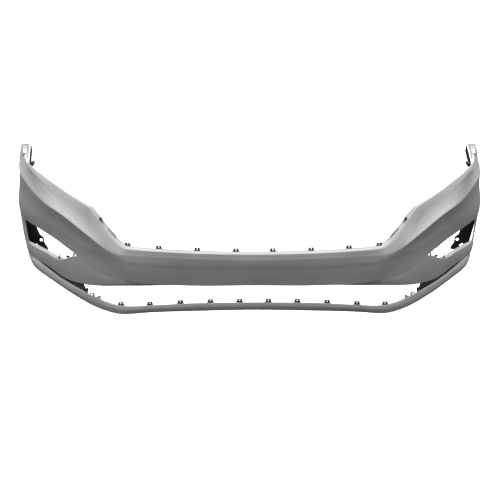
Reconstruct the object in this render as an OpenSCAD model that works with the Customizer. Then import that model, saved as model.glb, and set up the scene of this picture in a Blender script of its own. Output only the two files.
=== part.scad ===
// Front bumper cover of a compact saloon: an upper moulding and a lower bar moulding in
// primed polypropylene, with their closing panels, flanges, clips and rivets.
// Rails are read from the nose (y = 0) and the ground (z = 0), for the right-hand half.

/* [Mouldings] */
// Wall thickness of the two primed mouldings
wall = 3; // [2.5:0.1:4]
// Depth of the shelf behind the top edge
shelf_d = 24; // [23:1:28]
// Depth of the shelf's narrow end along the fender
wing_shelf_d = 4; // [3:0.5:5]
// Depth of the return lip round each fog lamp opening
fog_lip = 18; // [10:1:22]
// Depth of the shelf behind the lower bar's top edge
bar_shelf = 20; // [16:1:24]
// Width of the whole cover across the wheel arches
cover_w = 1768; // [1740:4:1800]

/* [Wheel arch] */
// Radius of the wheel arch edge
arch_r = 370; // [366:1:372]
// Distance of the arch centre behind the nose
arch_y = 905; // [900:1:908]
// Height of the arch centre above the ground
arch_z = 300; // [298:1:302]
// Radius of the liner screw hole in each arch flange
liner_hole_r = 6; // [4:0.5:7]

/* [Fixings] */
// Half distance between the two middle upper lugs
lug_half = 62; // [58:1:66]
// Width of a lug at its top
lug_w = 20; // [18:1:24]
// Height of a lug above the edge in front of it
lug_h = 6.4; // [6.2:0.1:8]
// Radius of the screw hole through a clip
clip_hole_r = 2.5; // [2:0.1:2.5]
// Width of a straddle clip
clip_w = 16; // [14:1:18]
// Radius of the fender screw hole in each fender flange
fender_hole_r = 4; // [3:0.5:5]

/* [Detail] */
// Steps along a rail between two stations
steps = 5; // [3:1:6]

/* [Hidden] */

primer = "#7c7c7e";
black_pp = "#18181a";
steel = "#3a3b3d";
kx = cover_w / 1768;

// Depth of a point of the arch edge at height z
function arch_depth(z) = arch_y - sqrt(arch_r * arch_r - (z - arch_z) * (z - arch_z));
function arch_end(x, z) = [x, arch_depth(z), z];

// Rails of the upper moulding at eleven stations, from the middle out to the arch edge
// Front edge of the top shelf, then the edge under the headlamp and the fender
top_rail = [[0, 11, 413], [200, 19, 414], [400, 54, 415], [452, 80, 421], [502, 103, 464],
    [561, 137, 534], [652, 204, 571], [758, 312, 611], [815, 440, 609], [850, 560, 603],
    arch_end(884, 612)];
// Line of the narrow ledge under the headlamp
ledge_rail = [[0, 2, 411], [200, 10, 412], [400, 45, 412], [453, 73, 414], [505, 97, 453],
    [563, 129, 506], [660, 196, 550], [764, 306, 599], [820, 436, 601], [853, 558, 596],
    arch_end(885, 603)];
// Crease between the upper face and the lower face
crease_rail = [[0, 0, 387], [200, 8, 387], [400, 42, 383], [462, 64, 387], [504, 76, 404],
    [550, 91, 435], [650, 148, 498], [740, 234, 531], [830, 398, 566], [866, 540, 570],
    arch_end(884, 560)];
// Soft fold above the fog lamp opening
fold_rail = [[0, 14, 328], [200, 21, 326], [402, 48, 334], [462, 72, 345], [528, 102, 355],
    [606, 146, 388], [690, 211, 419], [763, 292, 431], [838, 400, 439], [867, 490, 438],
    arch_end(880, 432)];
// Lower edge of the face: bottom edge in the middle, ridge, then top of the fog opening
ridge_rail = [[0, 25, 290], [200, 31, 287], [385, 56, 287], [455, 80, 299], [530, 107, 318],
    [615, 158, 354], [692, 221, 388], [763, 304, 401], [834, 409, 406], [861, 490, 404],
    arch_end(875, 400)];
// Top of the lower panel: under the ridge, then the bottom of the fog opening
sill_rail = [[0, 34, 288], [200, 40, 285], [385, 64, 281], [455, 82, 291], [529, 108, 309],
    [616, 158, 347], [682, 213, 318], [745, 283, 322], [819, 385, 321], [848, 480, 314],
    arch_end(864, 314)];
// Bottom edge of the lower panel
bottom_rail = [[0, 44, 286], [200, 50, 283], [385, 77, 269], [455, 92, 263], [522, 112, 255],
    [590, 150, 247], [661, 205, 248], [735, 281, 267], [813, 381, 274], [841, 471, 272],
    arch_end(853, 270)];

// Rails of the lower bar at the same stations
bar_top_rail = [[0, 10, 235], [200, 19, 229], [343, 39, 214], [440, 65, 200],
    [499, 90, 201], [559, 119, 216], [641, 174, 237], [710, 236, 256], [793, 345, 275],
    [832, 457, 268], arch_end(847, 264)];
bar_nose_rail = [[0, 10, 219], [200, 18, 214], [343, 38, 200], [440, 63, 185],
    [496, 87, 186], [560, 120, 195], [640, 172, 218], [708, 232, 239], [799, 344, 260],
    [836, 458, 256], arch_end(848, 254)];
bar_low_rail = [[0, 20, 202], [200, 28, 195], [344, 49, 182], [440, 72, 166],
    [490, 93, 163], [556, 126, 174], [632, 176, 197], [700, 232, 219], [789, 340, 236],
    [829, 456, 234], arch_end(844, 234)];

stations = len(top_rail) - 1;
corner = 5;
fog_in = 5;
fog_out = 8;
slot_in = 5;
lip_margin = 0.06;
shelf_fall = 0.12;
bar_shelf_fall = 0.35;
lug_back = 19;
lug_t = 3;
hole_rise = 3.2;
clip_gap = 0.2;

// Points on a rail
function mirrored(p) = [-p[0], p[1], p[2]];
function wide(p) = [p[0] * kx, p[1], p[2]];
function before(rail, i) = i > 0 ? rail[i - 1] : mirrored(rail[1]);
function after(rail, i) = i < len(rail) - 1 ? rail[i + 1] : 2 * rail[i] - rail[i - 1];
function through(a, b, c, d, t) =
    0.5 * (2 * b + (c - a) * t + (2 * a - 5 * b + 4 * c - d) * t * t
        + (3 * b - a - 3 * c + d) * t * t * t);
// The top edge and its ledge turn a sharp corner at one station; other rails run smoothly
function sharp_at(rail, i) = i == corner && (rail == top_rail || rail == ledge_rail);
function span_point(rail, i, t) =
    let (a = sharp_at(rail, i) ? 2 * rail[i] - rail[i + 1] : before(rail, i),
        d = sharp_at(rail, i + 1) ? 2 * rail[i + 1] - rail[i] : after(rail, i + 1))
    wide(through(a, rail[i], rail[i + 1], d, t));
function at(rail, u) =
    let (i = min(floor(u), len(rail) - 2))
    span_point(rail, i, u - i);
function slope(rail, u) =
    let (a = at(rail, max(u - 0.05, 0)), b = at(rail, min(u + 0.05, stations)))
    (b - a) / norm(b - a);

// Level direction from the outer face into the cover at station u
function inward(rail, u) =
    let (t = slope(rail, u), n = norm([t[0], t[1]]))
    [-t[1] / n, t[0] / n, 0];
function inset(rail, u, depth, rise) = at(rail, u) + inward(rail, u) * depth + [0, 0, rise];

// Station at which a rail reaches width x
function station_at(rail, x, lo = 0, hi = stations, n = 18) =
    n == 0 ? (lo + hi) / 2 :
    let (m = (lo + hi) / 2)
    at(rail, m)[0] < x ? station_at(rail, x, m, hi, n - 1) : station_at(rail, x, lo, m, n - 1);
function at_x(rail, x) = at(rail, station_at(rail, abs(x)));

// The middle of the pair of holes in the two middle upper lugs
lug_y = at_x(top_rail, lug_half)[1] + lug_back + lug_t / 2;
lug_z = at_x(top_rail, lug_half)[2] + hole_rise;

// How far a fog opening's lip is drawn in at station u, from 0 to 1
function lip(u) =
    max(0, min(1, (u - fog_in) / 0.4, (fog_out - u) / 0.4));
function blend(a, b, k) = a + (b - a) * k;
function lip_top(u) =
    blend(blend(at(ridge_rail, u), at(sill_rail, u), lip_margin),
        inset(ridge_rail, u, fog_lip, 2), lip(u));
function lip_low(u) =
    blend(blend(at(ridge_rail, u), at(sill_rail, u), 1 - lip_margin),
        inset(sill_rail, u, fog_lip, -2), lip(u));

// A row between two rails, pushed out by crown at k part of the way down
function between(a, b, u, k, crown) =
    blend(at(a, u), at(b, u), k) - inward(b, u) * crown * 4 * k * (1 - k);

// Depth of the shelf at station u: full under the grille, narrow along the fender
function shelf(u) = blend(shelf_d, wing_shelf_d, max(0, min(1, (u - 4.6) / 1.4)));

// How far station u is into the wing, from 0 to 1, and where the soft hollow line of the
// wing's upper face runs between the ledge and the crease
function wing(u) = max(0, min(1, (u - 4.2) / 0.8));
function shoulder(u) = 0.1 + 0.28 * max(0, min(1, (8 - u) / 2));

// Rows of the upper moulding at station u, from the back of the shelf to the bottom return
function skin_rows(u) = [
    inset(top_rail, u, shelf(u), -shelf_fall * shelf(u)),
    at(top_rail, u),
    at(ledge_rail, u),
    between(ledge_rail, crease_rail, u, shoulder(u), blend(0.5, -3, wing(u))),
    between(ledge_rail, crease_rail, u, 0.7, blend(0.5, 0, wing(u))),
    at(crease_rail, u),
    between(crease_rail, fold_rail, u, 0.5, blend(1, -2, wing(u))),
    at(fold_rail, u),
    at(ridge_rail, u),
    lip_top(u),
    lip_low(u),
    at(sill_rail, u),
    between(sill_rail, bottom_rail, u, 0.5, 2),
    at(bottom_rail, u),
    inset(bottom_rail, u, 12, 2)];
lip_row = 9;

function bar_depth(u) = u < slot_in ? bar_shelf : 12;
function bar_rows(u) = [
    inset(bar_top_rail, u, bar_depth(u), -bar_shelf_fall * bar_depth(u)),
    at(bar_top_rail, u),
    at(bar_nose_rail, u),
    at(bar_low_rail, u),
    inset(bar_low_rail, u, 22, -1)];

// Closing panel behind the dark slot, and its stations
panel_start = 5.3;
panel_end = 9.4;
panel_steps = 18;
function panel_rows(u) =
    let (a = inset(bottom_rail, u, 13, 14), b = inset(bar_top_rail, u, 13, -14))
    [a, blend(a, b, 0.5), b];

// Full-width columns, mirrored about the middle
half_us = [for (k = [0 : stations * steps]) k / steps];
full_us = concat([for (k = [stations * steps : -1 : 1]) -k / steps], half_us);
function column(rows, u) = u < 0 ? [for (p = rows) mirrored(p)] : rows;
function skin_column(u) = column(skin_rows(abs(u)), u);
function bar_column(u) = column(bar_rows(abs(u)), u);

// Normal of a grid of columns at column j, row i, pointing into the cover
function grid_normal(g, j, i) =
    let (across = g[min(j + 1, len(g) - 1)][i] - g[max(j - 1, 0)][i],
        down = g[j][min(i + 1, len(g[0]) - 1)] - g[j][max(i - 1, 0)],
        n = cross(across, down))
    n / norm(n);

// A closed sheet of even thickness over a grid, in the cells that solid[column][row] marks
module sheet(g, t, solid) {
    cols = len(g);
    rows = len(g[0]);
    outer = [for (j = [0 : cols - 1]) each g[j]];
    inner = [for (j = [0 : cols - 1]) for (i = [0 : rows - 1])
        g[j][i] + t * grid_normal(g, j, i)];
    half = cols * rows;
    function id(j, i) = j * rows + i;
    function full(j, i) = j >= 0 && j < cols - 1 && i >= 0 && i < rows - 1 && solid[j][i];
    function edge(a, b) = [b, a, a + half, b + half];
    faces = [for (j = [0 : cols - 2]) for (i = [0 : rows - 2]) if (full(j, i)) each
        let (a = id(j, i), b = id(j + 1, i), c = id(j + 1, i + 1), d = id(j, i + 1))
        concat([[a, b, c, d], [a + half, d + half, c + half, b + half]],
            full(j, i - 1) ? [] : [edge(a, b)],
            full(j + 1, i) ? [] : [edge(b, c)],
            full(j, i + 1) ? [] : [edge(c, d)],
            full(j - 1, i) ? [] : [edge(d, a)])];
    polyhedron(points = concat(outer, inner), faces = faces, convexity = 8);
}

// Everything is drawn about the point midway between the two middle upper lugs
module placed() {
    translate([0, -lug_y, -lug_z]) children();
}

module pair(side) {
    mirror([side < 0 ? 1 : 0, 0, 0]) children();
}

// Stand a shape on a point, turned so that its front faces out of the cover
module facing(rail, x) {
    u = station_at(rail, abs(x));
    p = at(rail, u);
    n = inward(rail, u);
    mirror([x < 0 ? 1 : 0, 0, 0])
        translate(p) rotate([0, 0, atan2(-n[0], n[1])]) children();
}

// Stand a shape on a rail's point without turning it, so that its front faces straight ahead
module ahead(rail, x) {
    p = at_x(rail, x);
    translate([sign(x) * p[0], p[1], p[2]]) children();
}

// Widths at which the lugs and clips stand
upper_xs = [lug_half, 192, 322, 429];
headlamp_x = 525;
lower_xs = [49, 148, 251, 356, 458];
low_forward = 9;
small_lug_w = 12;
small_clip_w = 8;
small_lug_forward = 12;
small_lug_rise = 4;
tab_x = 490;
tab_l = 46;
tab_back = 13;
tab_root = 7;

module skin_sheet() {
    solid = [for (k = [0 : len(full_us) - 2])
        let (m = abs(full_us[k] + full_us[k + 1]) / 2)
        [for (i = [0 : len(skin_rows(0)) - 2])
            !(i == lip_row && m > fog_in && m < fog_out)]];
    sheet([for (u = full_us) skin_column(u)], wall, solid);
}

// Angle of a rail above the level at width x
function rail_angle(rail, x) =
    let (t = slope(rail, station_at(rail, abs(x))))
    atan2(t[2], norm([t[0], t[1]]));

// An upright lug with its screw hole, spreading towards its root, which is sunk in the shelf
module lug(w) {
    root = 10;
    difference() {
        translate([0, lug_back + lug_t, 0]) rotate([90, 0, 0]) linear_extrude(lug_t)
            polygon([[-w * 0.85, -root], [w * 0.85, -root], [w / 2, 2], [w / 2, lug_h],
                [-w / 2, lug_h], [-w / 2, 2]]);
        translate([0, lug_back - 1, hole_rise]) rotate([-90, 0, 0])
            cylinder(r = clip_hole_r + 0.2, h = lug_t + 2, $fn = 32);
    }
}

// The low tab that stands along the edge under the headlamp
module headlamp_tab(side) {
    facing(top_rail, side * tab_x) rotate([0, -rail_angle(top_rail, tab_x), 0])
        translate([-tab_l / 2, tab_back, -tab_root]) cube([tab_l, lug_t, tab_root + 5.5]);
}

module small_lug_place(side) {
    facing(top_rail, side * headlamp_x)
        translate([0, -small_lug_forward, small_lug_rise]) children();
}

module upper_lugs() {
    for (x = upper_xs, side = [-1, 1]) ahead(top_rail, side * x) lug(lug_w);
    for (side = [-1, 1]) {
        small_lug_place(side) lug(small_lug_w);
        headlamp_tab(side);
    }
}

module lower_lugs() {
    for (x = lower_xs, side = [-1, 1]) ahead(bar_top_rail, side * x)
        translate([0, -low_forward, 0]) lug(lug_w);
}

// A folded spring clip that straddles a lug, with two rounded ears beside its screw hole
module straddle_clip(w) {
    arm = 1.4;
    gap = lug_t + 2 * clip_gap;
    ear_r = w * 0.19;
    cap = lug_h + clip_gap;
    ear_drop = 0.6;
    translate([0, lug_back + lug_t / 2, 0]) difference() {
        union() {
            translate([-w / 2, -gap / 2 - arm, -3]) cube([w, gap + 2 * arm, cap + arm + 3]);
            for (side = [-1, 1]) translate([side * w * 0.3, -gap / 2 - arm, cap - ear_drop])
                rotate([-90, 0, 0]) cylinder(r = ear_r, h = gap + 2 * arm, $fn = 32);
        }
        translate([-w, -gap / 2, -4]) cube([2 * w, gap, cap + 4]);
        translate([0, -w, hole_rise]) rotate([-90, 0, 0])
            cylinder(r = clip_hole_r, h = 2 * w, $fn = 32);
    }
}

// A sheet between two stations of the right-hand half
module half_sheet(first, last, count, t) {
    us = [for (k = [0 : count]) first + (last - first) * k / count];
    solid = [for (k = us) [true, true]];
    sheet([for (u = us) panel_rows(u)], t, solid);
}

// Front outline of the arch flange as [x, z] points: up the cover side, down the free edge
arch_outline = [[838, 238], [847, 285], [859, 340], [870, 400], [875, 432], [877, 500],
    [879, 556], [856, 556], [842, 500], [830, 432], [820, 372], [811, 330], [801, 303],
    [787, 290], [785, 268], [773, 246], [774, 238]];
liner_hole = [797, 280];
hook_slot = [814, 258];

module arch_flange(side) {
    pair(side) difference() {
        intersection() {
            translate([700, arch_y, arch_z]) rotate([0, 90, 0]) difference() {
                cylinder(r = arch_r + 3, h = 200, $fn = 180);
                translate([0, 0, -1]) cylinder(r = arch_r + 0.2, h = 202, $fn = 180);
            }
            translate([0, arch_y - 150, 0]) rotate([90, 0, 0])
                linear_extrude(260) polygon(arch_outline);
        }
        translate([liner_hole[0], 500, liner_hole[1]]) rotate([-90, 0, 0])
            cylinder(r = liner_hole_r, h = 80, $fn = 48);
        for (dx = [-4, 4]) translate([hook_slot[0] + dx, 500, hook_slot[1] + dx * 0.7])
            rotate([-90, 0, 0]) cylinder(r = 3.5, h = 80, $fn = 32);
    }
}

// The slotted flange that tucks under the fender, as [x, y] points, and its slots
flange_z = 607.4;
flange_rise = 3.5;
flange_t = 2.5;
flange_outline = [[822, 478], [829, 492], [848, 558], [865, 630], [881, 698], [850, 698],
    [837, 600], [822, 492], [818, 478]];
fender_hole = [837, 543];
flange_slots = [[844, 562, 12, 12], [856, 656, 14, 15]];
flange_window = [[844, 583], [858, 583], [868, 644], [853, 644]];
rivet_spots = [[833, 512], [852, 578], [872, 648]];

module on_flange() {
    translate([0, 560, flange_z]) rotate([flange_rise, 0, 0]) translate([0, -560, 0]) children();
}

module fender_flange(side) {
    pair(side) on_flange() difference() {
        linear_extrude(flange_t) polygon(flange_outline);
        translate([0, 0, -1]) {
            linear_extrude(5) polygon(flange_window);
            for (s = flange_slots) translate([s[0], s[1], 0]) cube([s[2], s[3], 5]);
            translate([fender_hole[0], fender_hole[1], 0])
                cylinder(r = fender_hole_r, h = 5, $fn = 40);
            for (p = rivet_spots) translate([p[0], p[1], 0]) cylinder(r = 1.7, h = 5, $fn = 24);
        }
    }
}

// The ribbed strip that stands under the flange's inner edge, from its front end back
strip_start = [815, 478];
strip_angle = -7.6;
strip_l = 218;
module inner_strip(side) {
    pair(side) on_flange() translate([strip_start[0], strip_start[1], -26.4])
        rotate([0, 0, strip_angle]) {
            cube([2.4, strip_l, 26]);
            translate([-3, 0, 0]) cube([4, strip_l, 2.4]);
            for (k = [0 : 6]) translate([-3, 6 + k * 34, 1]) cube([4, 2, 20]);
        }
}

module locating_block(side) {
    pair(side) translate([0, 476, 0]) rotate([90, 0, 0]) linear_extrude(30)
        polygon([[806, 584], [809, 597], [809, 606], [796, 608], [794, 600]]);
}

module headlamp_fixing(side) {
    small_lug_place(side) straddle_clip(small_clip_w);
}

// Pieces on the sill of a fog lamp opening: a spring tongue, a flat clip and a stud
module fog_clip_set(side) {
    facing(sill_rail, side * 690) translate([0, 6, 0.4]) {
        translate([-5, 0, 0]) cube([10, 9, 2]);
        translate([-2.5, 3, 0]) rotate([0, 14, 0]) cube([5, 2.4, 21]);
    }
    facing(sill_rail, side * 655) translate([0, 6, 0.4]) {
        translate([-9, 0, 0]) cube([18, 8, 2]);
        translate([-8, 2, 0]) cube([16, 3, 7]);
    }
    facing(sill_rail, side * 630) translate([0, 8, 0.4]) cylinder(r = 3, h = 8, $fn = 32);
}

// Pieces on the bar beside the inner end of the slot: two barbed hooks and a steel clip
module barbed_hook(w, h) {
    rotate([90, 0, 0]) linear_extrude(3, center = true)
        difference() {
            polygon([[-w * 0.6, 0], [w * 0.5, 0], [w * 0.4, h], [w * 0.15, h]]);
            polygon([[-w * 0.25, 2], [w * 0.2, 2], [w * 0.2, h * 0.5]]);
        }
}

module slot_hook_set(side) {
    facing(bar_top_rail, side * 588) translate([0, 5, 0.4]) mirror([1, 0, 0])
        rotate([0, 16, 0]) barbed_hook(20, 18);
    facing(bar_top_rail, side * 563) translate([0, 5, 0.4]) rotate([0, -22, 0])
        difference() {
            rotate([90, 0, 0]) cylinder(r = 9, h = 6, center = true, $fn = 48);
            rotate([90, 0, 0]) cylinder(r = 6, h = 8, center = true, $fn = 48);
            translate([-20, -10, -20]) cube([40, 20, 20]);
        }
    facing(bar_top_rail, side * 540) translate([0, 5, 0.4]) mirror([1, 0, 0])
        rotate([0, 16, 0]) barbed_hook(15, 12);
}

module cover_skin() {
    color(primer) placed() {
        skin_sheet();
        upper_lugs();
    }
}

module lower_bar() {
    color(primer) placed() {
        solid = [for (k = [0 : len(full_us) - 2]) [true, true, true, true]];
        sheet([for (u = full_us) bar_column(u)], wall, solid);
        lower_lugs();
    }
}

module slot_panel_left() {
    color(black_pp) placed() pair(-1) half_sheet(panel_start, panel_end, panel_steps, 2.5);
}

module slot_panel_right() {
    color(black_pp) placed() half_sheet(panel_start, panel_end, panel_steps, 2.5);
}

module arch_flange_left() { color(black_pp) placed() arch_flange(-1); }
module arch_flange_right() { color(black_pp) placed() arch_flange(1); }
module fender_flange_left() { color(primer) placed() fender_flange(-1); }
module fender_flange_right() { color(primer) placed() fender_flange(1); }
module inner_strip_left() { color(black_pp) placed() inner_strip(-1); }
module inner_strip_right() { color(black_pp) placed() inner_strip(1); }
module locating_block_left() { color(black_pp) placed() locating_block(-1); }
module locating_block_right() { color(black_pp) placed() locating_block(1); }

module upper_clips() {
    color(steel) placed()
        for (x = upper_xs, side = [-1, 1]) ahead(top_rail, side * x) straddle_clip(clip_w);
}

module headlamp_clips() {
    color(steel) placed() for (side = [-1, 1]) headlamp_fixing(side);
}

module lower_clips() {
    color(steel) placed() for (x = lower_xs, side = [-1, 1])
        ahead(bar_top_rail, side * x) translate([0, -low_forward, 0])
            straddle_clip(clip_w);
}

module fog_clips_left() { color(black_pp) placed() fog_clip_set(-1); }
module fog_clips_right() { color(black_pp) placed() fog_clip_set(1); }
module slot_hooks_left() { color(black_pp) placed() slot_hook_set(-1); }
module slot_hooks_right() { color(black_pp) placed() slot_hook_set(1); }

module flange_rivets() {
    color(steel) placed() for (side = [-1, 1]) pair(side) on_flange()
        for (p = rivet_spots) translate([p[0], p[1], 0]) {
            cylinder(r = 1.6, h = flange_t + 0.5, $fn = 24);
            translate([0, 0, flange_t]) cylinder(r1 = 3.6, r2 = 2.4, h = 1.4, $fn = 32);
        }
}

cover_skin();
lower_bar();
slot_panel_left();
slot_panel_right();
arch_flange_left();
arch_flange_right();
fender_flange_left();
fender_flange_right();
inner_strip_left();
inner_strip_right();
locating_block_left();
locating_block_right();
upper_clips();
headlamp_clips();
lower_clips();
fog_clips_left();
fog_clips_right();
slot_hooks_left();
slot_hooks_right();
flange_rivets();
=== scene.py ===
import bpy
import bmesh
import math
from mathutils import Vector, Matrix


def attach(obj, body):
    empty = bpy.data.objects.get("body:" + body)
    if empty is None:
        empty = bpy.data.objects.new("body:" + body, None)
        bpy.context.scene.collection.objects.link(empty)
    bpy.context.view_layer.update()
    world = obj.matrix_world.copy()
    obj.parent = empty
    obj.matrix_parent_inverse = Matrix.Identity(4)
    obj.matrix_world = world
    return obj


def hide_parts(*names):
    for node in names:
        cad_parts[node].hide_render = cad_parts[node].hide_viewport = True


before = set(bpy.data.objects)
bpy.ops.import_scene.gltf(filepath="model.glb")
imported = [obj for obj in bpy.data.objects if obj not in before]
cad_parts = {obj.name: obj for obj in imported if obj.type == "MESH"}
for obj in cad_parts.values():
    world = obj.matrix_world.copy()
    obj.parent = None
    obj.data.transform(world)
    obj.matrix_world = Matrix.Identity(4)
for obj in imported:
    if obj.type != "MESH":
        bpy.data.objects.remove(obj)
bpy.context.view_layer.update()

print("frame loaded:", len(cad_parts), "nodes")
mm = 0.001

# Each rail runs along the right-hand half of the cover, from its middle to the wheel arch,
# in millimetres from the nose (y = 0) and the ground (z = 0), through eleven stations.
arch = {"radius": 370, "centreY": 905, "centreZ": 300}


def archDepth(z):
    rise = z - arch["centreZ"]
    return arch["centreY"] - math.sqrt(arch["radius"] ** 2 - rise * rise)


def archEnd(x, z):
    return (x, archDepth(z), z)


rails = {
    "top": [(0, 11, 413), (200, 19, 414), (400, 54, 415), (452, 80, 421), (502, 103, 464),
            (561, 137, 534), (652, 204, 571), (758, 312, 611), (815, 440, 609), (850, 560, 603),
            archEnd(884, 612)],
    "ledge": [(0, 2, 411), (200, 10, 412), (400, 45, 412), (453, 73, 414), (505, 97, 453),
              (563, 129, 506), (660, 196, 550), (764, 306, 599), (820, 436, 601), (853, 558, 596),
              archEnd(885, 603)],
    "crease": [(0, 0, 387), (200, 8, 387), (400, 42, 383), (462, 64, 387), (504, 76, 404),
               (550, 91, 435), (650, 148, 498), (740, 234, 531), (830, 398, 566), (866, 540, 570),
               archEnd(884, 560)],
    "fold": [(0, 14, 328), (200, 21, 326), (402, 48, 334), (462, 72, 345), (528, 102, 355),
             (606, 146, 388), (690, 211, 419), (763, 292, 431), (838, 400, 439), (867, 490, 438),
             archEnd(880, 432)],
    "ridge": [(0, 25, 290), (200, 31, 287), (385, 56, 287), (455, 80, 299), (530, 107, 318),
              (615, 158, 354), (692, 221, 388), (763, 304, 401), (834, 409, 406), (861, 490, 404),
              archEnd(875, 400)],
    "sill": [(0, 34, 288), (200, 40, 285), (385, 64, 281), (455, 82, 291), (529, 108, 309),
             (616, 158, 347), (682, 213, 318), (745, 283, 322), (819, 385, 321), (848, 480, 314),
             archEnd(864, 314)],
    "bottom": [(0, 44, 286), (200, 50, 283), (385, 77, 269), (455, 92, 263), (522, 112, 255),
               (590, 150, 247), (661, 205, 248), (735, 281, 267), (813, 381, 274), (841, 471, 272),
               archEnd(853, 270)],
    "barTop": [(0, 10, 235), (200, 19, 229), (343, 39, 214), (440, 65, 200), (499, 90, 201),
               (559, 119, 216), (641, 174, 237), (710, 236, 256), (793, 345, 275), (832, 457, 268),
               archEnd(847, 264)],
    "barNose": [(0, 10, 219), (200, 18, 214), (343, 38, 200), (440, 63, 185), (496, 87, 186),
                (560, 120, 195), (640, 172, 218), (708, 232, 239), (799, 344, 260),
                (836, 458, 256), archEnd(848, 254)],
    "barLow": [(0, 20, 202), (200, 28, 195), (344, 49, 182), (440, 72, 166), (490, 93, 163),
               (556, 126, 174), (632, 176, 197), (700, 232, 219), (789, 340, 236),
               (829, 456, 234), archEnd(844, 234)],
}
rails = {name: [Vector(p) for p in points] for name, points in rails.items()}
lastStation = len(rails["top"]) - 1
sharpAt = {"top": 5, "ledge": 5}  # stations where the top edge turns a corner


def mirrored(p):
    return Vector((-p.x, p.y, p.z))


def railPoint(name, u):
    # a smooth curve through the rail's stations; u counts stations from the middle
    rail = rails[name]
    i = min(int(u), lastStation - 1)
    t = u - i
    a = rail[i - 1] if i > 0 else mirrored(rail[1])
    b, c = rail[i], rail[i + 1]
    d = rail[i + 2] if i + 2 <= lastStation else 2 * c - b
    if i == sharpAt.get(name):
        a = 2 * b - c
    if i + 1 == sharpAt.get(name):
        d = 2 * c - b
    return 0.5 * (2 * b + (c - a) * t + (2 * a - 5 * b + 4 * c - d) * t * t
                  + (3 * b - a - 3 * c + d) * t ** 3)


def railSlope(name, u):
    a = railPoint(name, max(u - 0.05, 0))
    b = railPoint(name, min(u + 0.05, lastStation))
    return (b - a).normalized()


def inward(name, u):  # level direction from the outer face into the cover
    along = railSlope(name, u)
    return Vector((-along.y, along.x, 0)).normalized()


def inset(name, u, depth, rise=0.0):
    return railPoint(name, u) + inward(name, u) * depth + Vector((0, 0, rise))


def stationAt(name, x):  # the station at which a rail reaches x, by halving
    low, high = 0.0, float(lastStation)
    for _ in range(24):
        middle = (low + high) / 2
        if railPoint(name, middle).x < x:
            low = middle
        else:
            high = middle
    return (low + high) / 2


def ramp(value, start, end):
    return max(0.0, min(1.0, (value - start) / (end - start)))


def smooth(value, start, end):
    t = ramp(value, start, end)
    return t * t * (3 - 2 * t)


# the frame's origin is midway between the two middle upper lugs' screw holes
lug = {"halfSpacing": 62, "back": 19, "thick": 3, "width": 20, "height": 6.4, "root": 10,
       "flare": 0.85, "neck": 2, "chamfer": 1.5, "edge": 0.4, "holeRise": 3.2,
       "holeRadius": 2.7}
middleLug = railPoint("top", stationAt("top", lug["halfSpacing"]))
origin = Vector((0, middleLug.y + lug["back"] + lug["thick"] / 2,
                 middleLug.z + lug["holeRise"]))


# pieces are made in millimetres from the nose and the ground, then taken into the frame
frameFromGround = Matrix.Scale(mm, 4) @ Matrix.Translation(-origin)
otherSide = Matrix.Diagonal((-1, 1, 1, 1))


def onSide(side, place=Matrix()):
    # a place on the right (side 1), or its mirror on the left (side -1)
    return place if side > 0 else otherSide @ place


def linear(hexColour):
    channels = [int(hexColour[i:i + 2], 16) / 255 for i in (1, 3, 5)]
    return tuple(c / 12.92 if c <= 0.04045 else ((c + 0.055) / 1.055) ** 2.4
                 for c in channels) + (1.0,)


def addNode(material, kind, settings=None, links=None):
    # settings and links go to sockets by name or number; other settings are the node's own
    tree = material.node_tree
    node = tree.nodes.new(kind)
    for key, value in (settings or {}).items():
        if isinstance(key, int) or key in node.inputs:
            node.inputs[key].default_value = value
        else:
            setattr(node, key, value)
    for key, source in (links or {}).items():
        tree.links.new(source, node.inputs[key])
    return node


def newMaterial(name):
    material = bpy.data.materials.new(name)
    material.use_nodes = True
    shader = material.node_tree.nodes["Principled BSDF"]
    return material, shader


def colourRamp(material, source, stops):
    node = addNode(material, "ShaderNodeValToRGB", links={"Fac": source})
    elements = node.color_ramp.elements
    while len(elements) < len(stops):
        elements.new(0.5)
    for element, (place, colour) in zip(elements, stops):
        element.position = place
        element.color = linear(colour)
    return node.outputs["Color"]


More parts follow.
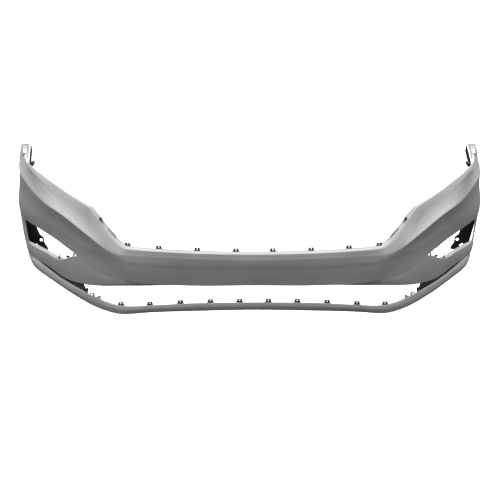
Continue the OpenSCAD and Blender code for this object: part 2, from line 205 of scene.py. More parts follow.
def sprayedPrimer(name, look):
    # Two-pack grey primer sprayed on a moulding: satin, with a faint orange peel and dry-spray
    # speckle, and slow changes of tone where the spray passes overlap.
    material, shader = newMaterial(name)
    places = addNode(material, "ShaderNodeTexCoord").outputs["Object"]
    passes = addNode(material, "ShaderNodeTexNoise",
                     {"Scale": 1 / (look["passWidth"] * mm), "Detail": 2.0, "Roughness": 0.5},
                     {"Vector": places})
    speckle = addNode(material, "ShaderNodeTexNoise",
                      {"Scale": 1 / (look["speckleSize"] * mm), "Detail": 3.0,
                       "Roughness": 0.65}, {"Vector": places})
    base = colourRamp(material, passes.outputs["Fac"],
                      [(0.3, look["dark"]), (0.7, look["light"])])
    grain = addNode(material, "ShaderNodeMapRange",
                    {"From Min": 0.3, "From Max": 0.7, "To Min": 1 - look["speckle"],
                     "To Max": 1 + look["speckle"]}, {"Value": speckle.outputs["Fac"]})
    toned = addNode(material, "ShaderNodeVectorMath", {"operation": "SCALE"},
                    {0: base, "Scale": grain.outputs["Result"]})
    material.node_tree.links.new(toned.outputs["Vector"], shader.inputs["Base Color"])
    satin = addNode(material, "ShaderNodeMapRange",
                    {"From Min": 0.35, "From Max": 0.65, "To Min": look["roughness"] - 0.04,
                     "To Max": look["roughness"] + 0.05}, {"Value": passes.outputs["Fac"]})
    material.node_tree.links.new(satin.outputs["Result"], shader.inputs["Roughness"])
    peel = addNode(material, "ShaderNodeTexNoise",
                   {"Scale": 1 / (look["peelSize"] * mm), "Detail": 1.0}, {"Vector": places})
    bump = addNode(material, "ShaderNodeBump",
                   {"Strength": look["peel"], "Distance": 0.2 * mm},
                   {"Height": peel.outputs["Fac"]})
    fine = addNode(material, "ShaderNodeBump",
                   {"Strength": look["tooth"], "Distance": 0.1 * mm},
                   {"Height": speckle.outputs["Fac"], "Normal": bump.outputs["Normal"]})
    material.node_tree.links.new(fine.outputs["Normal"], shader.inputs["Normal"])
    shader.inputs["IOR"].default_value = 1.5
    shader.inputs["Specular IOR Level"].default_value = look["specular"]
    return material


def mouldedPlastic(name, look):
    # Injection-moulded plastic, coloured through: fine spark-eroded grain off the tool,
    # and a slightly greyer bloom in patches.
    material, shader = newMaterial(name)
    places = addNode(material, "ShaderNodeTexCoord").outputs["Object"]
    grain = addNode(material, "ShaderNodeTexVoronoi",
                    {"Scale": 1 / (look["grain"] * mm), "Randomness": 1.0},
                    {"Vector": places})
    bloom = addNode(material, "ShaderNodeTexNoise",
                    {"Scale": 1 / (look["bloomSize"] * mm), "Detail": 3.0},
                    {"Vector": places})
    base = colourRamp(material, bloom.outputs["Fac"],
                      [(0.35, look["dark"]), (0.75, look["light"])])
    material.node_tree.links.new(base, shader.inputs["Base Color"])
    gloss = addNode(material, "ShaderNodeMapRange",
                    {"From Min": 0.3, "From Max": 0.7, "To Min": look["roughness"] - 0.05,
                     "To Max": look["roughness"] + 0.08}, {"Value": bloom.outputs["Fac"]})
    material.node_tree.links.new(gloss.outputs["Result"], shader.inputs["Roughness"])
    bump = addNode(material, "ShaderNodeBump",
                   {"Strength": look["texture"], "Distance": 0.2 * mm},
                   {"Height": grain.outputs["Distance"]})
    material.node_tree.links.new(bump.outputs["Normal"], shader.inputs["Normal"])
    shader.inputs["IOR"].default_value = 1.49
    return material


def stampedMetal(name, look):
    # Strip or wire, stamped or headed: dull and finely crystalline. Phosphated spring steel is
    # near black with paler crystals, and drawn aluminium is bright and faintly mottled.
    material, shader = newMaterial(name)
    places = addNode(material, "ShaderNodeTexCoord").outputs["Object"]
    crystals = addNode(material, "ShaderNodeTexNoise",
                       {"Scale": 1 / (look["crystal"] * mm), "Detail": 5.0,
                        "Roughness": 0.7}, {"Vector": places})
    base = colourRamp(material, crystals.outputs["Fac"],
                      [(0.35, look["dark"]), (0.7, look["light"])])
    material.node_tree.links.new(base, shader.inputs["Base Color"])
    rough = addNode(material, "ShaderNodeMapRange",
                    {"From Min": 0.3, "From Max": 0.7, "To Min": look["smoothest"],
                     "To Max": look["roughest"]}, {"Value": crystals.outputs["Fac"]})
    material.node_tree.links.new(rough.outputs["Result"], shader.inputs["Roughness"])
    bump = addNode(material, "ShaderNodeBump",
                   {"Strength": look["texture"], "Distance": 0.05 * mm},
                   {"Height": crystals.outputs["Fac"]})
    material.node_tree.links.new(bump.outputs["Normal"], shader.inputs["Normal"])
    shader.inputs["Metallic"].default_value = look["metallic"]
    return material


# sizes of the patterns are in millimetres
primer = {"passWidth": 160, "speckleSize": 1.6, "speckle": 0.05, "roughness": 0.5,
          "peelSize": 4.0, "peel": 0.12, "tooth": 0.1, "specular": 0.5}
metal = {"smoothest": 0.38, "roughest": 0.6, "texture": 0.3}
finishes = {
    "cover": {**primer, "dark": "#7e7e80", "light": "#88888a"},
    "bar": {**primer, "dark": "#828284", "light": "#8b8b8d"},
    "flange": {**primer, "dark": "#66666a", "light": "#727276", "passWidth": 60,
               "speckle": 0.06, "roughness": 0.55, "peelSize": 3.0, "peel": 0.1,
               "specular": 0.4},
    "blackPp": {"dark": "#121213", "light": "#1f1f21", "grain": 0.9, "bloomSize": 40,
                "roughness": 0.55, "texture": 0.35},
    "acetal": {"dark": "#0f0f10", "light": "#1a1a1c", "grain": 0.6, "bloomSize": 20,
               "roughness": 0.38, "texture": 0.15},
    "spring": {**metal, "dark": "#1c1d1e", "light": "#2e2f32", "crystal": 0.8,
               "metallic": 0.25},
    "rivet": {**metal, "dark": "#8c8d90", "light": "#b3b4b7", "crystal": 1.5,
              "metallic": 1.0},
}
coverPrimer = sprayedPrimer("sprayed primer on polypropylene", finishes["cover"])
barPrimer = sprayedPrimer("sprayed primer on the lower bar", finishes["bar"])
flangePrimer = sprayedPrimer("light primer on the fender flange", finishes["flange"])
blackPp = mouldedPlastic("moulded black polypropylene", finishes["blackPp"])
blackAcetal = mouldedPlastic("moulded black acetal", finishes["acetal"])
springSteel = stampedMetal("phosphated spring steel", finishes["spring"])
rivetAlloy = stampedMetal("drawn aluminium rivet", finishes["rivet"])
print("materials made")


def shift(x, y, z):
    return Matrix.Translation((x, y, z))


def turn(degrees, axis):
    return Matrix.Rotation(math.radians(degrees), 4, axis)


upright = turn(90, "X")  # stands a plate drawn in x and y on its lower edge


creaseAngle = math.radians(40)  # edges sharper than this stay crisp under smooth shading
cornerAngle = 0.6  # radians; edges sharper than this are rounded off by soften


def finishPiece(bm, name, materials, stands):
    # takes a piece from the ground's millimetres into the frame, links it under the root body, and
    # hides the CAD nodes it stands for
    bm.transform(frameFromGround)
    bm.normal_update()
    mesh = bpy.data.meshes.new(name)
    bm.to_mesh(mesh)
    bm.free()
    for material in materials:
        mesh.materials.append(material)
    mesh.polygons.foreach_set("use_smooth", [True] * len(mesh.polygons))
    mesh.set_sharp_from_angle(angle=creaseAngle)
    piece = bpy.data.objects.new(name, mesh)
    bpy.context.scene.collection.objects.link(piece)
    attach(piece, "root")
    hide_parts(*stands)
    return piece


def finishSided(bm, side, name, materials, node):
    word = "Left" if side < 0 else "Right"
    return finishPiece(bm, name + word, materials, [node + "_" + word.lower()])


def addPart(bm, part, place):
    # joins a part to a piece, and turns its faces the right way where the place mirrors it
    part.transform(place)
    if place.determinant() < 0:
        bmesh.ops.reverse_faces(part, faces=part.faces[:])
    mesh = bpy.data.meshes.new("part")
    part.to_mesh(mesh)
    part.free()
    bm.from_mesh(mesh)
    bpy.data.meshes.remove(mesh)


def soften(bm, width, segments=2):
    bm.normal_update()
    sharp = [e for e in bm.edges if len(e.link_faces) == 2 and e.calc_face_angle() > cornerAngle]
    bmesh.ops.bevel(bm, geom=sharp, offset=width, offset_type="OFFSET", segments=segments,
                    profile=0.5, affect="EDGES", clamp_overlap=True, material=-1)
    return bm


def ringOf(x, y, radius, count=20):
    return [(x + radius * math.cos(k * math.tau / count),
             y + radius * math.sin(k * math.tau / count)) for k in range(count)]


def slotRing(x, y, halfX, halfY, radius, count=16):
    # a round-ended slot: a ring stretched along one direction
    length = math.hypot(halfX, halfY)
    ux, uy = halfX / length, halfY / length
    points = []
    for k in range(count):
        a = (k + 0.5) * math.tau / count
        c, d = radius * math.cos(a), radius * math.sin(a)
        c += length if c > 0 else -length
        points.append((x + c * ux - d * uy, y + c * uy + d * ux))
    return points


def blank(outline, holes=()):
    # a flat blank cut to an outline in x and y, with holes, facing up
    bm = bmesh.new()
    edges = []
    for ring in [outline, *holes]:
        verts = [bm.verts.new((x, y, 0)) for x, y in ring]
        edges += [bm.edges.new((verts[i - 1], verts[i])) for i in range(len(verts))]
    bmesh.ops.triangle_fill(bm, use_beauty=True, edges=edges, normal=(0, 0, 1))
    bm.normal_update()
    return bm


def score(bm, axis, places):
    # cut lines across a blank, so that it can be bent there
    for place in places:
        point, normal = Vector(), Vector()
        point[axis], normal[axis] = place, 1
        bmesh.ops.bisect_plane(bm, geom=bm.verts[:] + bm.edges[:] + bm.faces[:], dist=0.001,
                               plane_co=point, plane_no=normal)


def bend(bm, shape, towards):
    for vert in bm.verts:
        vert.co = shape(vert.co)
    bm.normal_update()
    if sum(f.normal.dot(Vector(towards)) for f in bm.faces) < 0:
        bmesh.ops.reverse_faces(bm, faces=bm.faces[:])
        bm.normal_update()


def plate(outline, holes, thick, edge):
    bm = blank(outline, holes)
    raised = bmesh.ops.extrude_face_region(bm, geom=bm.faces[:])["geom"]
    bmesh.ops.translate(bm, verts=[g for g in raised if isinstance(g, bmesh.types.BMVert)],
                        vec=(0, 0, thick))
    bmesh.ops.recalc_face_normals(bm, faces=bm.faces[:])
    return soften(bm, edge)


def block(low, high, edge):
    bm = bmesh.new()
    low, high = Vector(low), Vector(high)
    bmesh.ops.create_cube(bm, size=1, matrix=Matrix.Translation((low + high) / 2)
                          @ Matrix.Diagonal((high - low).to_4d()))
    return soften(bm, edge)


roundingShare = 0.45  # the most of a face that the rounding of one edge may take


def roundedSection(knots, bulges, runs, arcSteps):
    # knots: (point, distance rounded off on each side); bulges: outward crown of each run
    points = []
    for k, (here, cut) in enumerate(knots):
        corner = [here]
        if 0 < k < len(knots) - 1:
            backward, forward = knots[k - 1][0] - here, knots[k + 1][0] - here
            entry = here + backward.normalized() * min(cut, roundingShare * backward.length)
            leave = here + forward.normalized() * min(cut, roundingShare * forward.length)
            steps = [s / (arcSteps[k] + 1) for s in range(1, arcSteps[k] + 1)]
            arc = [entry * (1 - t) ** 2 + here * 2 * t * (1 - t) + leave * t * t
                   for t in steps]
            corner = [entry, *arc, leave]
        if points:
            start = points[-1]
            for t in [s / runs[k - 1] for s in range(1, runs[k - 1])]:
                points.append(start.lerp(corner[0], t) + bulges[k - 1] * 4 * t * (1 - t))
        points += corner
    return points


def loft(sectionAt, columns, keepFace=None):
    # a grid whose columns run along the cover and whose rows are the section's points;
    # faces that keepFace turns down are left out as openings
    sections = [sectionAt(u) for u in columns]
    rowCount = len(sections[0])
    bm = bmesh.new()
    bmesh.ops.create_grid(bm, x_segments=len(columns) - 1, y_segments=rowCount - 1, size=1)
    for vert in bm.verts:
        column = round((vert.co.x + 1) / 2 * (len(columns) - 1))
        row = round((1 - vert.co.y) / 2 * (rowCount - 1))
        vert.index = column * rowCount + row
    bm.verts.sort()
    if keepFace:
        gone = []
        for face in bm.faces:
            column, row = divmod(min(v.index for v in face.verts), rowCount)
            if not keepFace((columns[column] + columns[column + 1]) / 2, row):
                gone.append(face)
        bmesh.ops.delete(bm, geom=gone, context="FACES")
    for vert in bm.verts:
        column, row = divmod(vert.index, rowCount)
        vert.co = sections[column][row]
    bm.normal_update()
    return bm


def thicken(bm, wall, rim):
    # a wall under the outer face; its inner side is material 1 and its rims are rounded
    walls = set(bm.faces)
    made = bmesh.ops.solidify(bm, geom=bm.faces[:], thickness=wall)["geom"]
    for inner in [g for g in made if isinstance(g, bmesh.types.BMFace)]:
        inner.material_index = 1
        walls.add(inner)
    rims = [edge for edge in bm.edges if len(edge.link_faces) == 2
            and len(walls.intersection(edge.link_faces)) == 1]
    bmesh.ops.bevel(bm, geom=rims, offset=rim, offset_type="OFFSET", segments=2,
                    profile=0.5, affect="EDGES", clamp_overlap=True, material=-1)
    bmesh.ops.recalc_face_normals(bm, faces=bm.faces[:])


# the grey upper moulding; places given as numbers under eleven are stations
cover = {"wall": 3, "rim": 0.7, "columnsPerStation": 15, "shelf": 24, "shelfFall": 0.12,
         "wingShelf": 4, "shelfNarrows": (4.6, 6), "wingStarts": (4.2, 5), "fogIn": 5,
         "fogOut": 8, "fogLip": 18, "fogLipFall": 2, "lipGrows": 0.4, "lipMargin": 0.06,
         "bottomReturn": 12, "bottomRise": 2}
# the soft hollow line along the wing's upper face, which fades towards the arch
hollowLine = {"place": 0.1, "innerPlace": 0.38, "moves": (8, 6), "crown": 0.5, "depth": 3,
              "fades": (9.5, 7)}
# how far the faces beside the crease bow out at the middle and sink on the wing, and how far
# the panel under the fog lamp bows out once it is that high
crowns = {"aboveCrease": (0.5, 1.5), "belowCrease": (1, 3), "panel": 2,
          "panelHeights": (4, 30)}
# distance rounded off each edge of the section, in its order from the shelf to the return
coverRounding = {"top": 2, "ledge": 2, "shoulder": 5, "crease": 2.5, "fold": 26,
                 "ridge": 2.5, "lipTop": 1.5, "lipLow": 1.5, "sill": 2.5, "bottom": 3}
coverArcs = [0, 2, 2, 3, 4, 6, 2, 1, 1, 2, 2, 0]  # steps round each edge
coverRuns = [3, 1, 3, 6, 6, 6, 3, 1, 3, 6, 3]  # rows in each face between two edges
aboveCrease, belowCrease, lowerPanel, fogLipEdge = 3, 4, 9, 7  # their places in those lists


def wing(u):  # how far a station is into the wing, from 0 to 1
    return ramp(u, *cover["wingStarts"])


def fogLipDepth(u):
    return min(ramp(u, cover["fogIn"], cover["fogIn"] + cover["lipGrows"]),
               ramp(u, cover["fogOut"], cover["fogOut"] - cover["lipGrows"]))


def coverKnots(u):
    shelf = cover["shelf"] + ((cover["wingShelf"] - cover["shelf"])
                              * ramp(u, *cover["shelfNarrows"]))
    ridge, sill = railPoint("ridge", u), railPoint("sill", u)
    k, fall, margin = fogLipDepth(u), cover["fogLipFall"], cover["lipMargin"]
    lipTop = ridge.lerp(sill, margin).lerp(inset("ridge", u, cover["fogLip"], fall), k)
    lipLow = ridge.lerp(sill, 1 - margin).lerp(inset("sill", u, cover["fogLip"], -fall), k)
    ledge, crease = railPoint("ledge", u), railPoint("crease", u)
    line = hollowLine
    t = line["place"] + (line["innerPlace"] - line["place"]) * ramp(u, *line["moves"])
    bow = (line["crown"] - (line["crown"] + line["depth"]) * wing(u)) * ramp(u, *line["fades"])
    shoulder = ledge.lerp(crease, t) - inward("crease", u) * bow * 4 * t * (1 - t)
    r = coverRounding
    return [(inset("top", u, shelf, -cover["shelfFall"] * shelf), 0),
            (railPoint("top", u), r["top"]), (ledge, r["ledge"]), (shoulder, r["shoulder"]),
            (crease, r["crease"]), (railPoint("fold", u), r["fold"]),
            (ridge, r["ridge"]), (lipTop, r["lipTop"]), (lipLow, r["lipLow"]),
            (sill, r["sill"]), (railPoint("bottom", u), r["bottom"]),
            (inset("bottom", u, cover["bottomReturn"], cover["bottomRise"]), 0)]


def coverSection(u):
    side = abs(u)
    bulges = [Vector()] * len(coverRuns)
    above, below = [crown - (crown + depth) * wing(side)
                    for crown, depth in (crowns["aboveCrease"], crowns["belowCrease"])]
    panelHeight = railPoint("sill", side).z - railPoint("bottom", side).z
    panelBow = crowns["panel"] * ramp(panelHeight, *crowns["panelHeights"])
    bulges[aboveCrease] = -inward("crease", side) * above * ramp(side, *hollowLine["fades"])
    bulges[belowCrease] = -inward("fold", side) * below
    bulges[lowerPanel] = -inward("bottom", side) * panelBow
    points = roundedSection(coverKnots(side), bulges, coverRuns, coverArcs)
    return [mirrored(p) for p in points] if u < 0 else points


def gridColumns(perStation):
    count = lastStation * perStation
    return [k / perStation for k in range(-count, count + 1)]


def rowAfter(knot, runs, arcs):  # the row at which the face after that edge starts
    return sum(runs[k - 1] + arcs[k] + 1 for k in range(1, knot + 1))


openRow = rowAfter(fogLipEdge, coverRuns, coverArcs)


def makeLug(width):
    # an upright lug with its screw hole, spreading to a root sunk in the shelf
    root, height, half, chamfer = lug["root"], lug["height"], width / 2, lug["chamfer"]
    flare = width * lug["flare"]
    outline = [(-flare, -root), (flare, -root), (half, lug["neck"]), (half, height - chamfer),
               (half - chamfer, height), (chamfer - half, height), (-half, height - chamfer),
               (-half, lug["neck"])]
    part = plate(outline, [ringOf(0, lug["holeRise"], lug["holeRadius"])], lug["thick"],
                 lug["edge"])
    part.transform(shift(0, lug["back"] + lug["thick"], 0) @ upright)
    return part


upperXs = [lug["halfSpacing"], 192, 322, 429]
lowerXs = [49, 148, 251, 356, 458]
headlampLug = {"x": 525, "width": 12, "forward": 12, "rise": 4}
headlampTab = {"x": 490, "half": 23, "root": 7, "rise": 5.5, "slant": 3, "back": 16,
               "thick": 3, "edge": 0.6}


def stand(rail, x, turned=True, tilted=False):
    # where a piece stands on a rail; the left side is the mirror of the right
    u = stationAt(rail, abs(x))
    place = Matrix.Translation(railPoint(rail, u))
    if turned:
        facing = inward(rail, u)
        place = place @ Matrix.Rotation(math.atan2(-facing.x, facing.y), 4, "Z")
    if tilted:
        slope = railSlope(rail, u)
        place = place @ Matrix.Rotation(-math.atan2(slope.z, slope.xy.length), 4, "Y")
    return otherSide @ place if x < 0 else place


def headlampStand(side):
    return (stand("top", side * headlampLug["x"])
            @ shift(0, -headlampLug["forward"], headlampLug["rise"]))


def makeCover():
    bm = loft(coverSection, gridColumns(cover["columnsPerStation"]),
              lambda u, row: not (row == openRow and cover["fogIn"] < abs(u) < cover["fogOut"]))
    thicken(bm, cover["wall"], cover["rim"])
    tab = headlampTab
    inner = tab["half"] - tab["slant"]
    tabOutline = [(-tab["half"], -tab["root"]), (tab["half"], -tab["root"]),
                  (inner, tab["rise"]), (-inner, tab["rise"])]
    for side in (-1, 1):
        for x in upperXs:
            addPart(bm, makeLug(lug["width"]), stand("top", side * x, turned=False))
        addPart(bm, makeLug(headlampLug["width"]), headlampStand(side))
        addPart(bm, plate(tabOutline, [], tab["thick"], tab["edge"]),
                stand("top", side * tab["x"], tilted=True) @ shift(0, tab["back"], 0) @ upright)
    return finishPiece(bm, "coverMoulding", [coverPrimer, blackPp],
                       ["cover_skin"])


makeCover()
print("upper moulding made")

bar = {"wall": 3, "shelf": 20, "endShelf": 12, "endShelfFrom": 5, "shelfFall": 0.35,
       "lowReturn": 22, "lowFall": 1, "columnsPerStation": 15, "rim": 0.7, "lugForward": 9}
barRounding = {"barTop": 2.5, "barNose": 7, "barLow": 4}
barRuns = [3, 3, 3, 3]
barArcs = [0, 3, 4, 3, 0]


def barSection(u):
    side = abs(u)
    shelf = bar["endShelf"] if side >= bar["endShelfFrom"] else bar["shelf"]
    edges = [(railPoint(rail, side), cut) for rail, cut in barRounding.items()]
    knots = [(inset("barTop", side, shelf, -bar["shelfFall"] * shelf), 0), *edges,
             (inset("barLow", side, bar["lowReturn"], -bar["lowFall"]), 0)]
    points = roundedSection(knots, [Vector()] * len(barRuns), barRuns, barArcs)
    return [mirrored(p) for p in points] if u < 0 else points


def lowerStand(x):
    return stand("barTop", x, turned=False) @ shift(0, -bar["lugForward"], 0)


def makeLowerBar():
    bm = loft(barSection, gridColumns(bar["columnsPerStation"]))
    thicken(bm, bar["wall"], bar["rim"])
    for x in lowerXs:
        for side in (-1, 1):
            addPart(bm, makeLug(lug["width"]), lowerStand(side * x))
    return finishPiece(bm, "lowerBar", [barPrimer, blackPp], ["lower_bar"])


makeLowerBar()
print("lower bar made")


# panel that closes the slot between the cover's corner and the lower bar
panel = {"start": 5.3, "end": 9.4, "columns": 72, "rows": 8, "wall": 2.5, "rim": 0.5,
         "inset": 13, "rise": 14}


def panelSection(u):
    high = inset("bottom", u, panel["inset"], panel["rise"])
    low = inset("barTop", u, panel["inset"], -panel["rise"])
    return [high.lerp(low, k / panel["rows"]) for k in range(panel["rows"] + 1)]


def makeSlotPanel(side):
    span = panel["end"] - panel["start"]
    bm = loft(panelSection, [panel["start"] + span * k / panel["columns"]
                             for k in range(panel["columns"] + 1)])
    thicken(bm, panel["wall"], panel["rim"])
    whole = bmesh.new()
    addPart(whole, bm, onSide(side))
    return finishSided(whole, side, "slotPanel", [blackPp, blackPp], "slot_panel")


# flange along the wheel arch, bent to the arch's curve, with the liner's screw hole
archFlange = {"radius": 373, "wall": 2.8, "rim": 0.6, "bends": range(246, 556, 12),
              "screw": (797, 280, 6),
              "slot": (814, 258, 4, 2.8, 3.5),
              "outline": [(838, 238), (847, 285), (859, 340), (870, 400), (875, 432),
                          (877, 500), (879, 556), (856, 556), (842, 500), (830, 432),
                          (820, 372), (811, 330), (801, 303), (787, 290), (785, 268),
                          (773, 246), (774, 238)]}


def makeArchFlange(side):
    bm = blank(archFlange["outline"], [ringOf(*archFlange["screw"], 28),
                                       slotRing(*archFlange["slot"], 20)])
    score(bm, 1, archFlange["bends"])

    def onArch(p):
        depth = arch["centreY"] - math.sqrt(archFlange["radius"] ** 2
                                            - (p.y - arch["centreZ"]) ** 2)
        return Vector((p.x, depth, p.y))

    bend(bm, onArch, (0, -1, 0))
    thicken(bm, archFlange["wall"], archFlange["rim"])
    whole = bmesh.new()
    addPart(whole, bm, onSide(side))
    return finishSided(whole, side, "archFlange", [blackPp, blackPp],
                       "arch_flange")


# slotted flange that tucks under the fender, its rivets, and the ribbed strip inside it;
# a slot is its near corner, its width and its length
flange = {"height": 607.4, "rise": 3.5, "pivotY": 560, "thick": 2.5, "edge": 0.5,
          "outline": [(822, 478), (829, 492), (848, 558), (865, 630), (881, 698), (850, 698),
                      (837, 600), (822, 492), (818, 478)],
          "screw": (837, 543, 4), "rivets": [(833, 512), (852, 578), (872, 648)],
          "rivetHole": 1.7, "slots": [(844, 562, 12, 12), (856, 656, 14, 15)],
          "window": [(844, 583), (858, 583), (868, 644), (853, 644)]}
strip = {"start": (815, 478, -26.4), "angle": -7.6, "length": 218, "edge": 0.4,
         "profile": [(-3, 0), (2.4, 0), (2.4, 26), (0, 26), (0, 2.4), (-3, 2.4)],
         "ribs": 7, "firstRib": 6, "pitch": 34, "rib": ((-3, 0, 1), (1, 2, 21)),
         "ribEdge": 0.3}
onFlange = (shift(0, flange["pivotY"], flange["height"]) @ turn(flange["rise"], "X")
            @ shift(0, -flange["pivotY"], 0))


def makeFenderFlange(side):
    slots = [[(x, y), (x + w, y), (x + w, y + l), (x, y + l)]
             for x, y, w, l in flange["slots"]]
    holes = [flange["window"], ringOf(*flange["screw"], 28), *slots]
    holes += [ringOf(x, y, flange["rivetHole"], 12) for x, y in flange["rivets"]]
    bm = bmesh.new()
    addPart(bm, plate(flange["outline"], holes, flange["thick"], flange["edge"]),
            onSide(side, onFlange))
    return finishSided(bm, side, "fenderFlange", [flangePrimer], "fender_flange")


def makeInnerStrip(side):
    bm = bmesh.new()
    place = onSide(side, onFlange @ shift(*strip["start"]) @ turn(strip["angle"], "Z"))
    addPart(bm, plate(strip["profile"], [], strip["length"], strip["edge"]),
            place @ shift(0, strip["length"], 0) @ upright)
    for k in range(strip["ribs"]):
        addPart(bm, block(*strip["rib"], strip["ribEdge"]),
                place @ shift(0, strip["firstRib"] + k * strip["pitch"], 0))
    return finishSided(bm, side, "innerStrip", [blackPp], "inner_strip")


# block that guides the headlamp's outer corner
locatingBlock = {"back": 476, "length": 30, "edge": 1.0,
                 "outline": [(806, 584), (809, 597), (809, 606), (796, 608), (794, 600)]}


def makeLocatingBlock(side):
    bm = bmesh.new()
    addPart(bm, plate(locatingBlock["outline"], [], locatingBlock["length"],
                      locatingBlock["edge"]),
            onSide(side, shift(0, locatingBlock["back"], 0) @ upright))
    return finishSided(bm, side, "locatingBlock", [blackAcetal],
                       "locating_block")


# heights are above the flange's face
rivet = {"shank": 1.6, "head": 3.6, "rim": 0.4, "shoulder": (2.7, 1.19), "rise": 1.4,
         "well": 0.9, "wellFloor": 0.6, "steps": 20}


def makeRivet():
    # a blind rivet: a low domed head with a small well where the stem broke off
    face, (shoulder, shoulderRise) = flange["thick"], rivet["shoulder"]
    profile = [(0, 0), (rivet["shank"], 0), (rivet["shank"], face), (rivet["head"], face),
               (rivet["head"], face + rivet["rim"]), (shoulder, face + shoulderRise),
               (rivet["well"], face + rivet["rise"]),
               (rivet["well"], face + rivet["wellFloor"]), (0, face + rivet["wellFloor"])]
    bm = bmesh.new()
    verts = [bm.verts.new((r, 0, z)) for r, z in profile]
    line = [bm.edges.new(pair) for pair in zip(verts, verts[1:])]
    bmesh.ops.spin(bm, geom=verts + line, cent=(0, 0, 0), axis=(0, 0, 1), angle=math.tau,
                   steps=rivet["steps"], use_merge=True)
    bmesh.ops.remove_doubles(bm, verts=bm.verts[:], dist=0.01)
    bmesh.ops.recalc_face_normals(bm, faces=bm.faces[:])
    return bm


def makeRivets():
    bm = bmesh.new()
    for side in (-1, 1):
        for x, y in flange["rivets"]:
            addPart(bm, makeRivet(), onSide(side, onFlange @ shift(x, y, 0)))
    return finishPiece(bm, "flangeRivets", [rivetAlloy], ["flange_rivets"])


# spring clips: a strip with two screw holes and two rounded ears, folded over each lug
clip = {"width": 16, "smallWidth": 8, "arm": 1.4, "gap": 3.4, "skirt": 3, "bend": 2.2,
        "clearance": 0.2, "chamfer": 1, "earHeight": 1.1, "ears": 0.3, "earHalf": 0.2,
        "hole": 2.5, "edge": 0.25}


def makeClip(width):
    half = clip["gap"] / 2 + clip["arm"]
    top = lug["height"] + clip["clearance"] + clip["arm"]
    bendRun = clip["bend"] * math.pi / 2
    armRun = top - clip["bend"] + clip["skirt"]
    across = 2 * (half - clip["bend"])
    total = 2 * armRun + 2 * bendRun + across
    holeAt = clip["skirt"] + lug["holeRise"]
    w, c = width / 2, clip["chamfer"]
    outline = [(c - w, 0), (w - c, 0), (w, c), (w, total - c), (w - c, total),
               (c - w, total), (-w, total - c), (-w, c)]
    bm = blank(outline, [ringOf(0, holeAt, clip["hole"]),
                         ringOf(0, total - holeAt, clip["hole"])])
    score(bm, 0, [w * (k / 5 - 1) for k in range(1, 10)])
    score(bm, 1, [armRun * 0.8] + [armRun + bendRun * k / 3 for k in range(4)]
          + [total - armRun - bendRun * k / 3 for k in range(4)] + [total - armRun * 0.8])

    def folded(p):
        run = min(p.y, total - p.y)
        if run < armRun:
            y, z = -half, run - clip["skirt"]
        elif run < armRun + bendRun:
            a = (run - armRun) / clip["bend"]
            y = -half + clip["bend"] * (1 - math.cos(a))
            z = top - clip["bend"] * (1 - math.sin(a))
        else:
            y, z = -half + clip["bend"] + run - armRun - bendRun, top
        offset = (abs(p.x) - clip["ears"] * width) / (clip["earHalf"] * width)
        ear = math.sqrt(max(0.0, 1 - offset * offset)) * clip["earHeight"]
        z += ear * smooth(z, top - clip["bend"] - 1, top)
        return Vector((p.x, y if p.y * 2 < total else -y, z))

    bend(bm, folded, (0, 0, 1))
    thicken(bm, clip["arm"], clip["edge"])
    bm.transform(shift(0, lug["back"] + lug["thick"] / 2, 0))
    return bm


def makeClips(name, node, width, places):
    bm = bmesh.new()
    for place in places:
        addPart(bm, makeClip(width), place)
    return finishPiece(bm, name, [springSteel, springSteel], [node])


# fixings on the fog lamp opening's sill: a spring tongue, a flat clip and a stud
tongue = {"x": 690, "foot": ((-5, 0, 0), (5, 9, 2)), "footEdge": 0.4, "thick": 2.4,
          "edge": 0.4, "lean": 14, "back": 5.4,
          "outline": [(-2.5, 0), (2.5, 0), (2.2, 16), (0.8, 21), (-0.8, 21), (-2.2, 16)]}
flatClip = {"x": 655, "foot": ((-9, 0, 0), (9, 8, 2)), "footEdge": 0.4,
            "blade": ((-8, 2, 0), (8, 5, 7)), "bladeEdge": 0.8}
stud = {"x": 630, "radius": 3, "height": 8, "back": 8, "edge": 0.6}
sillBack, sillRise = 6, 0.4


def makeFogClips(side):
    bm = bmesh.new()
    place = stand("sill", side * tongue["x"]) @ shift(0, sillBack, sillRise)
    addPart(bm, block(*tongue["foot"], tongue["footEdge"]), place)
    addPart(bm, plate(tongue["outline"], [], tongue["thick"], tongue["edge"]),
            place @ turn(tongue["lean"], "Y") @ shift(0, tongue["back"], 0) @ upright)
    place = stand("sill", side * flatClip["x"]) @ shift(0, sillBack, sillRise)
    addPart(bm, block(*flatClip["foot"], flatClip["footEdge"]), place)
    addPart(bm, block(*flatClip["blade"], flatClip["bladeEdge"]), place)
    pin = bmesh.new()
    bmesh.ops.create_cone(pin, cap_ends=True, segments=24, radius1=stud["radius"],
                          radius2=stud["radius"], depth=stud["height"],
                          matrix=shift(0, 0, stud["height"] / 2))
    addPart(bm, soften(pin, stud["edge"]),
            stand("sill", side * stud["x"]) @ shift(0, stud["back"], sillRise))
    return finishSided(bm, side, "fogClips", [blackAcetal], "fog_clips")


# fixings beside the slot's inner end: two barbed hooks and a bowed clip between them
hooks = {"sizes": ((588, 20, 18), (540, 15, 12)), "thick": 3, "edge": 0.35, "lean": 16}
bow = {"x": 563, "outer": 9, "inner": 6, "steps": 16, "width": 6, "edge": 0.3, "lean": -22}
hookBack, hookRise = 5, 0.4


def barbedHook(width, height):
    # a leaning hook with a three-cornered gap, so that it can spring
    outline = [(-width * 0.6, 0), (width * 0.5, 0), (width * 0.4, height),
               (width * 0.15, height)]
    gap = [(-width * 0.25, 2), (width * 0.2, 2), (width * 0.2, height * 0.5)]
    return plate(outline, [gap], hooks["thick"], hooks["edge"])


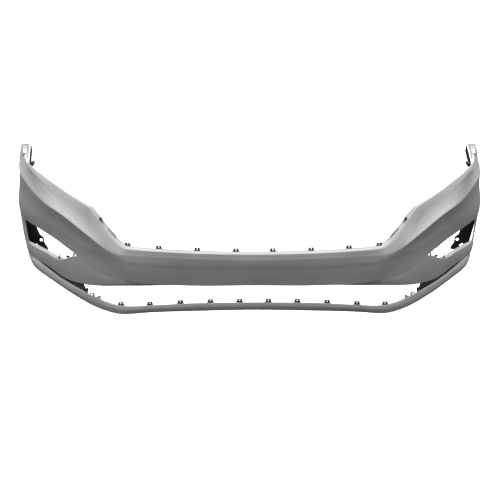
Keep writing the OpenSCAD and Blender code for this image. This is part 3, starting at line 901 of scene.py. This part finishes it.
def makeSlotHooks(side):
    bm = bmesh.new()
    for x, width, height in hooks["sizes"]:
        addPart(bm, barbedHook(width, height), stand("barTop", side * x)
                @ shift(0, hookBack, hookRise) @ otherSide @ turn(hooks["lean"], "Y")
                @ shift(0, hooks["thick"] / 2, 0) @ upright)
    angles = [math.pi * k / bow["steps"] for k in range(bow["steps"] + 1)]
    band = [(bow["outer"] * math.cos(a), bow["outer"] * math.sin(a)) for a in angles]
    band += [(bow["inner"] * math.cos(a), bow["inner"] * math.sin(a)) for a in angles[::-1]]
    addPart(bm, plate(band, [], bow["width"], bow["edge"]), stand("barTop", side * bow["x"])
            @ shift(0, hookBack, hookRise) @ turn(bow["lean"], "Y")
            @ shift(0, bow["width"] / 2, 0) @ upright)
    return finishSided(bm, side, "slotHooks", [blackAcetal], "slot_hooks")


for side in (-1, 1):
    makeSlotPanel(side)
    makeArchFlange(side)
    makeFenderFlange(side)
    makeInnerStrip(side)
    makeLocatingBlock(side)
    makeFogClips(side)
    makeSlotHooks(side)
makeRivets()
makeClips("upperClips", "upper_clips", clip["width"],
          [stand("top", side * x, turned=False) for x in upperXs for side in (-1, 1)])
makeClips("headlampClips", "headlamp_clips", clip["smallWidth"],
          [headlampStand(side) for side in (-1, 1)])
makeClips("lowerClips", "lower_clips", clip["width"],
          [lowerStand(side * x) for x in lowerXs for side in (-1, 1)])
print("flanges, panels and fixings made")

stage = {"floorSize": 60, "floorColour": "#e8e8e8"}


def makeFloor():
    bm = bmesh.new()
    height = -origin.z * mm
    bmesh.ops.create_grid(bm, x_segments=1, y_segments=1, size=stage["floorSize"] / 2)
    bmesh.ops.translate(bm, verts=bm.verts[:], vec=(0, 0, height))
    mesh = bpy.data.meshes.new("floor")
    bm.to_mesh(mesh)
    bm.free()
    floor = bpy.data.objects.new("floor", mesh)
    bpy.context.scene.collection.objects.link(floor)
    material, shader = newMaterial("matt white studio floor")
    shader.inputs["Base Color"].default_value = linear(stage["floorColour"])
    shader.inputs["Roughness"].default_value = 0.9
    mesh.materials.append(material)
    floor.visible_diffuse = False
    floor.visible_glossy = False


# a white ceiling lit evenly, dark walls below it, so faces are graded by how far up they tilt
dome = {"strength": 4.6, "stops": ((0.0, 0.04), (0.5, 0.11), (0.72, 1.0))}


def makeSky():
    world = bpy.data.worlds.new("studio")
    bpy.context.scene.world = world
    world.use_nodes = True
    place = addNode(world, "ShaderNodeTexCoord")
    height = addNode(world, "ShaderNodeSeparateXYZ", links={0: place.outputs["Generated"]})
    falloff = addNode(world, "ShaderNodeValToRGB", links={"Fac": height.outputs["Z"]})
    elements = falloff.color_ramp.elements
    while len(elements) < len(dome["stops"]):
        elements.new(0.5)
    for element, (stop, level) in zip(elements, dome["stops"]):
        element.position, element.color = stop, (level, level, level, 1)
    background = world.node_tree.nodes["Background"]
    world.node_tree.links.new(falloff.outputs["Color"], background.inputs["Color"])
    background.inputs["Strength"].default_value = dome["strength"]


# one broad softbox in front and to the left, low enough to reach the lower faces
softbox = {"place": (-2.6, -2.4, 0.6), "aim": (-0.3, 0.2, 0.3), "size": 1.8, "power": 9}


def makeSoftbox():
    lamp = bpy.data.lights.new("softbox", "AREA")
    lamp.size, lamp.energy = softbox["size"], softbox["power"]
    holder = bpy.data.objects.new("softbox", lamp)
    bpy.context.scene.collection.objects.link(holder)
    place = Vector(softbox["place"])
    holder.location = place
    holder.rotation_euler = (Vector(softbox["aim"]) - place).to_track_quat("-Z", "Y").to_euler()


# angles in degrees, the aim in millimetres from the nose and the ground
camera = {"azimuth": -1.65, "elevation": 18.0, "distance": 4.0, "aim": (0, 345, 418),
          "lens": 79.3, "shiftX": -0.0038, "shiftY": -0.0588, "lean": 0.0079}


def makeCamera():
    a, e = math.radians(camera["azimuth"]), math.radians(camera["elevation"])
    back = Vector((math.sin(a) * math.cos(e), -math.cos(a) * math.cos(e), math.sin(e)))
    right = Vector((math.cos(a), math.sin(a), 0))
    up = back.cross(right).normalized()
    right = (right + camera["lean"] * up).normalized()
    up = back.cross(right)
    data = bpy.data.cameras.new("camera")
    data.lens = camera["lens"]
    data.sensor_width = 36
    data.shift_x, data.shift_y = camera["shiftX"], camera["shiftY"]
    eye = bpy.data.objects.new("camera", data)
    bpy.context.scene.collection.objects.link(eye)
    facing = Matrix((right, up, back)).transposed()
    eye.matrix_world = (Matrix.Translation(frameFromGround @ Vector(camera["aim"])
                                           + back * camera["distance"]) @ facing.to_4x4())
    bpy.context.scene.camera = eye


makeFloor()
makeSky()
makeSoftbox()
makeCamera()
bpy.context.scene.view_settings.view_transform = "Standard"
print("stage, light and camera made")
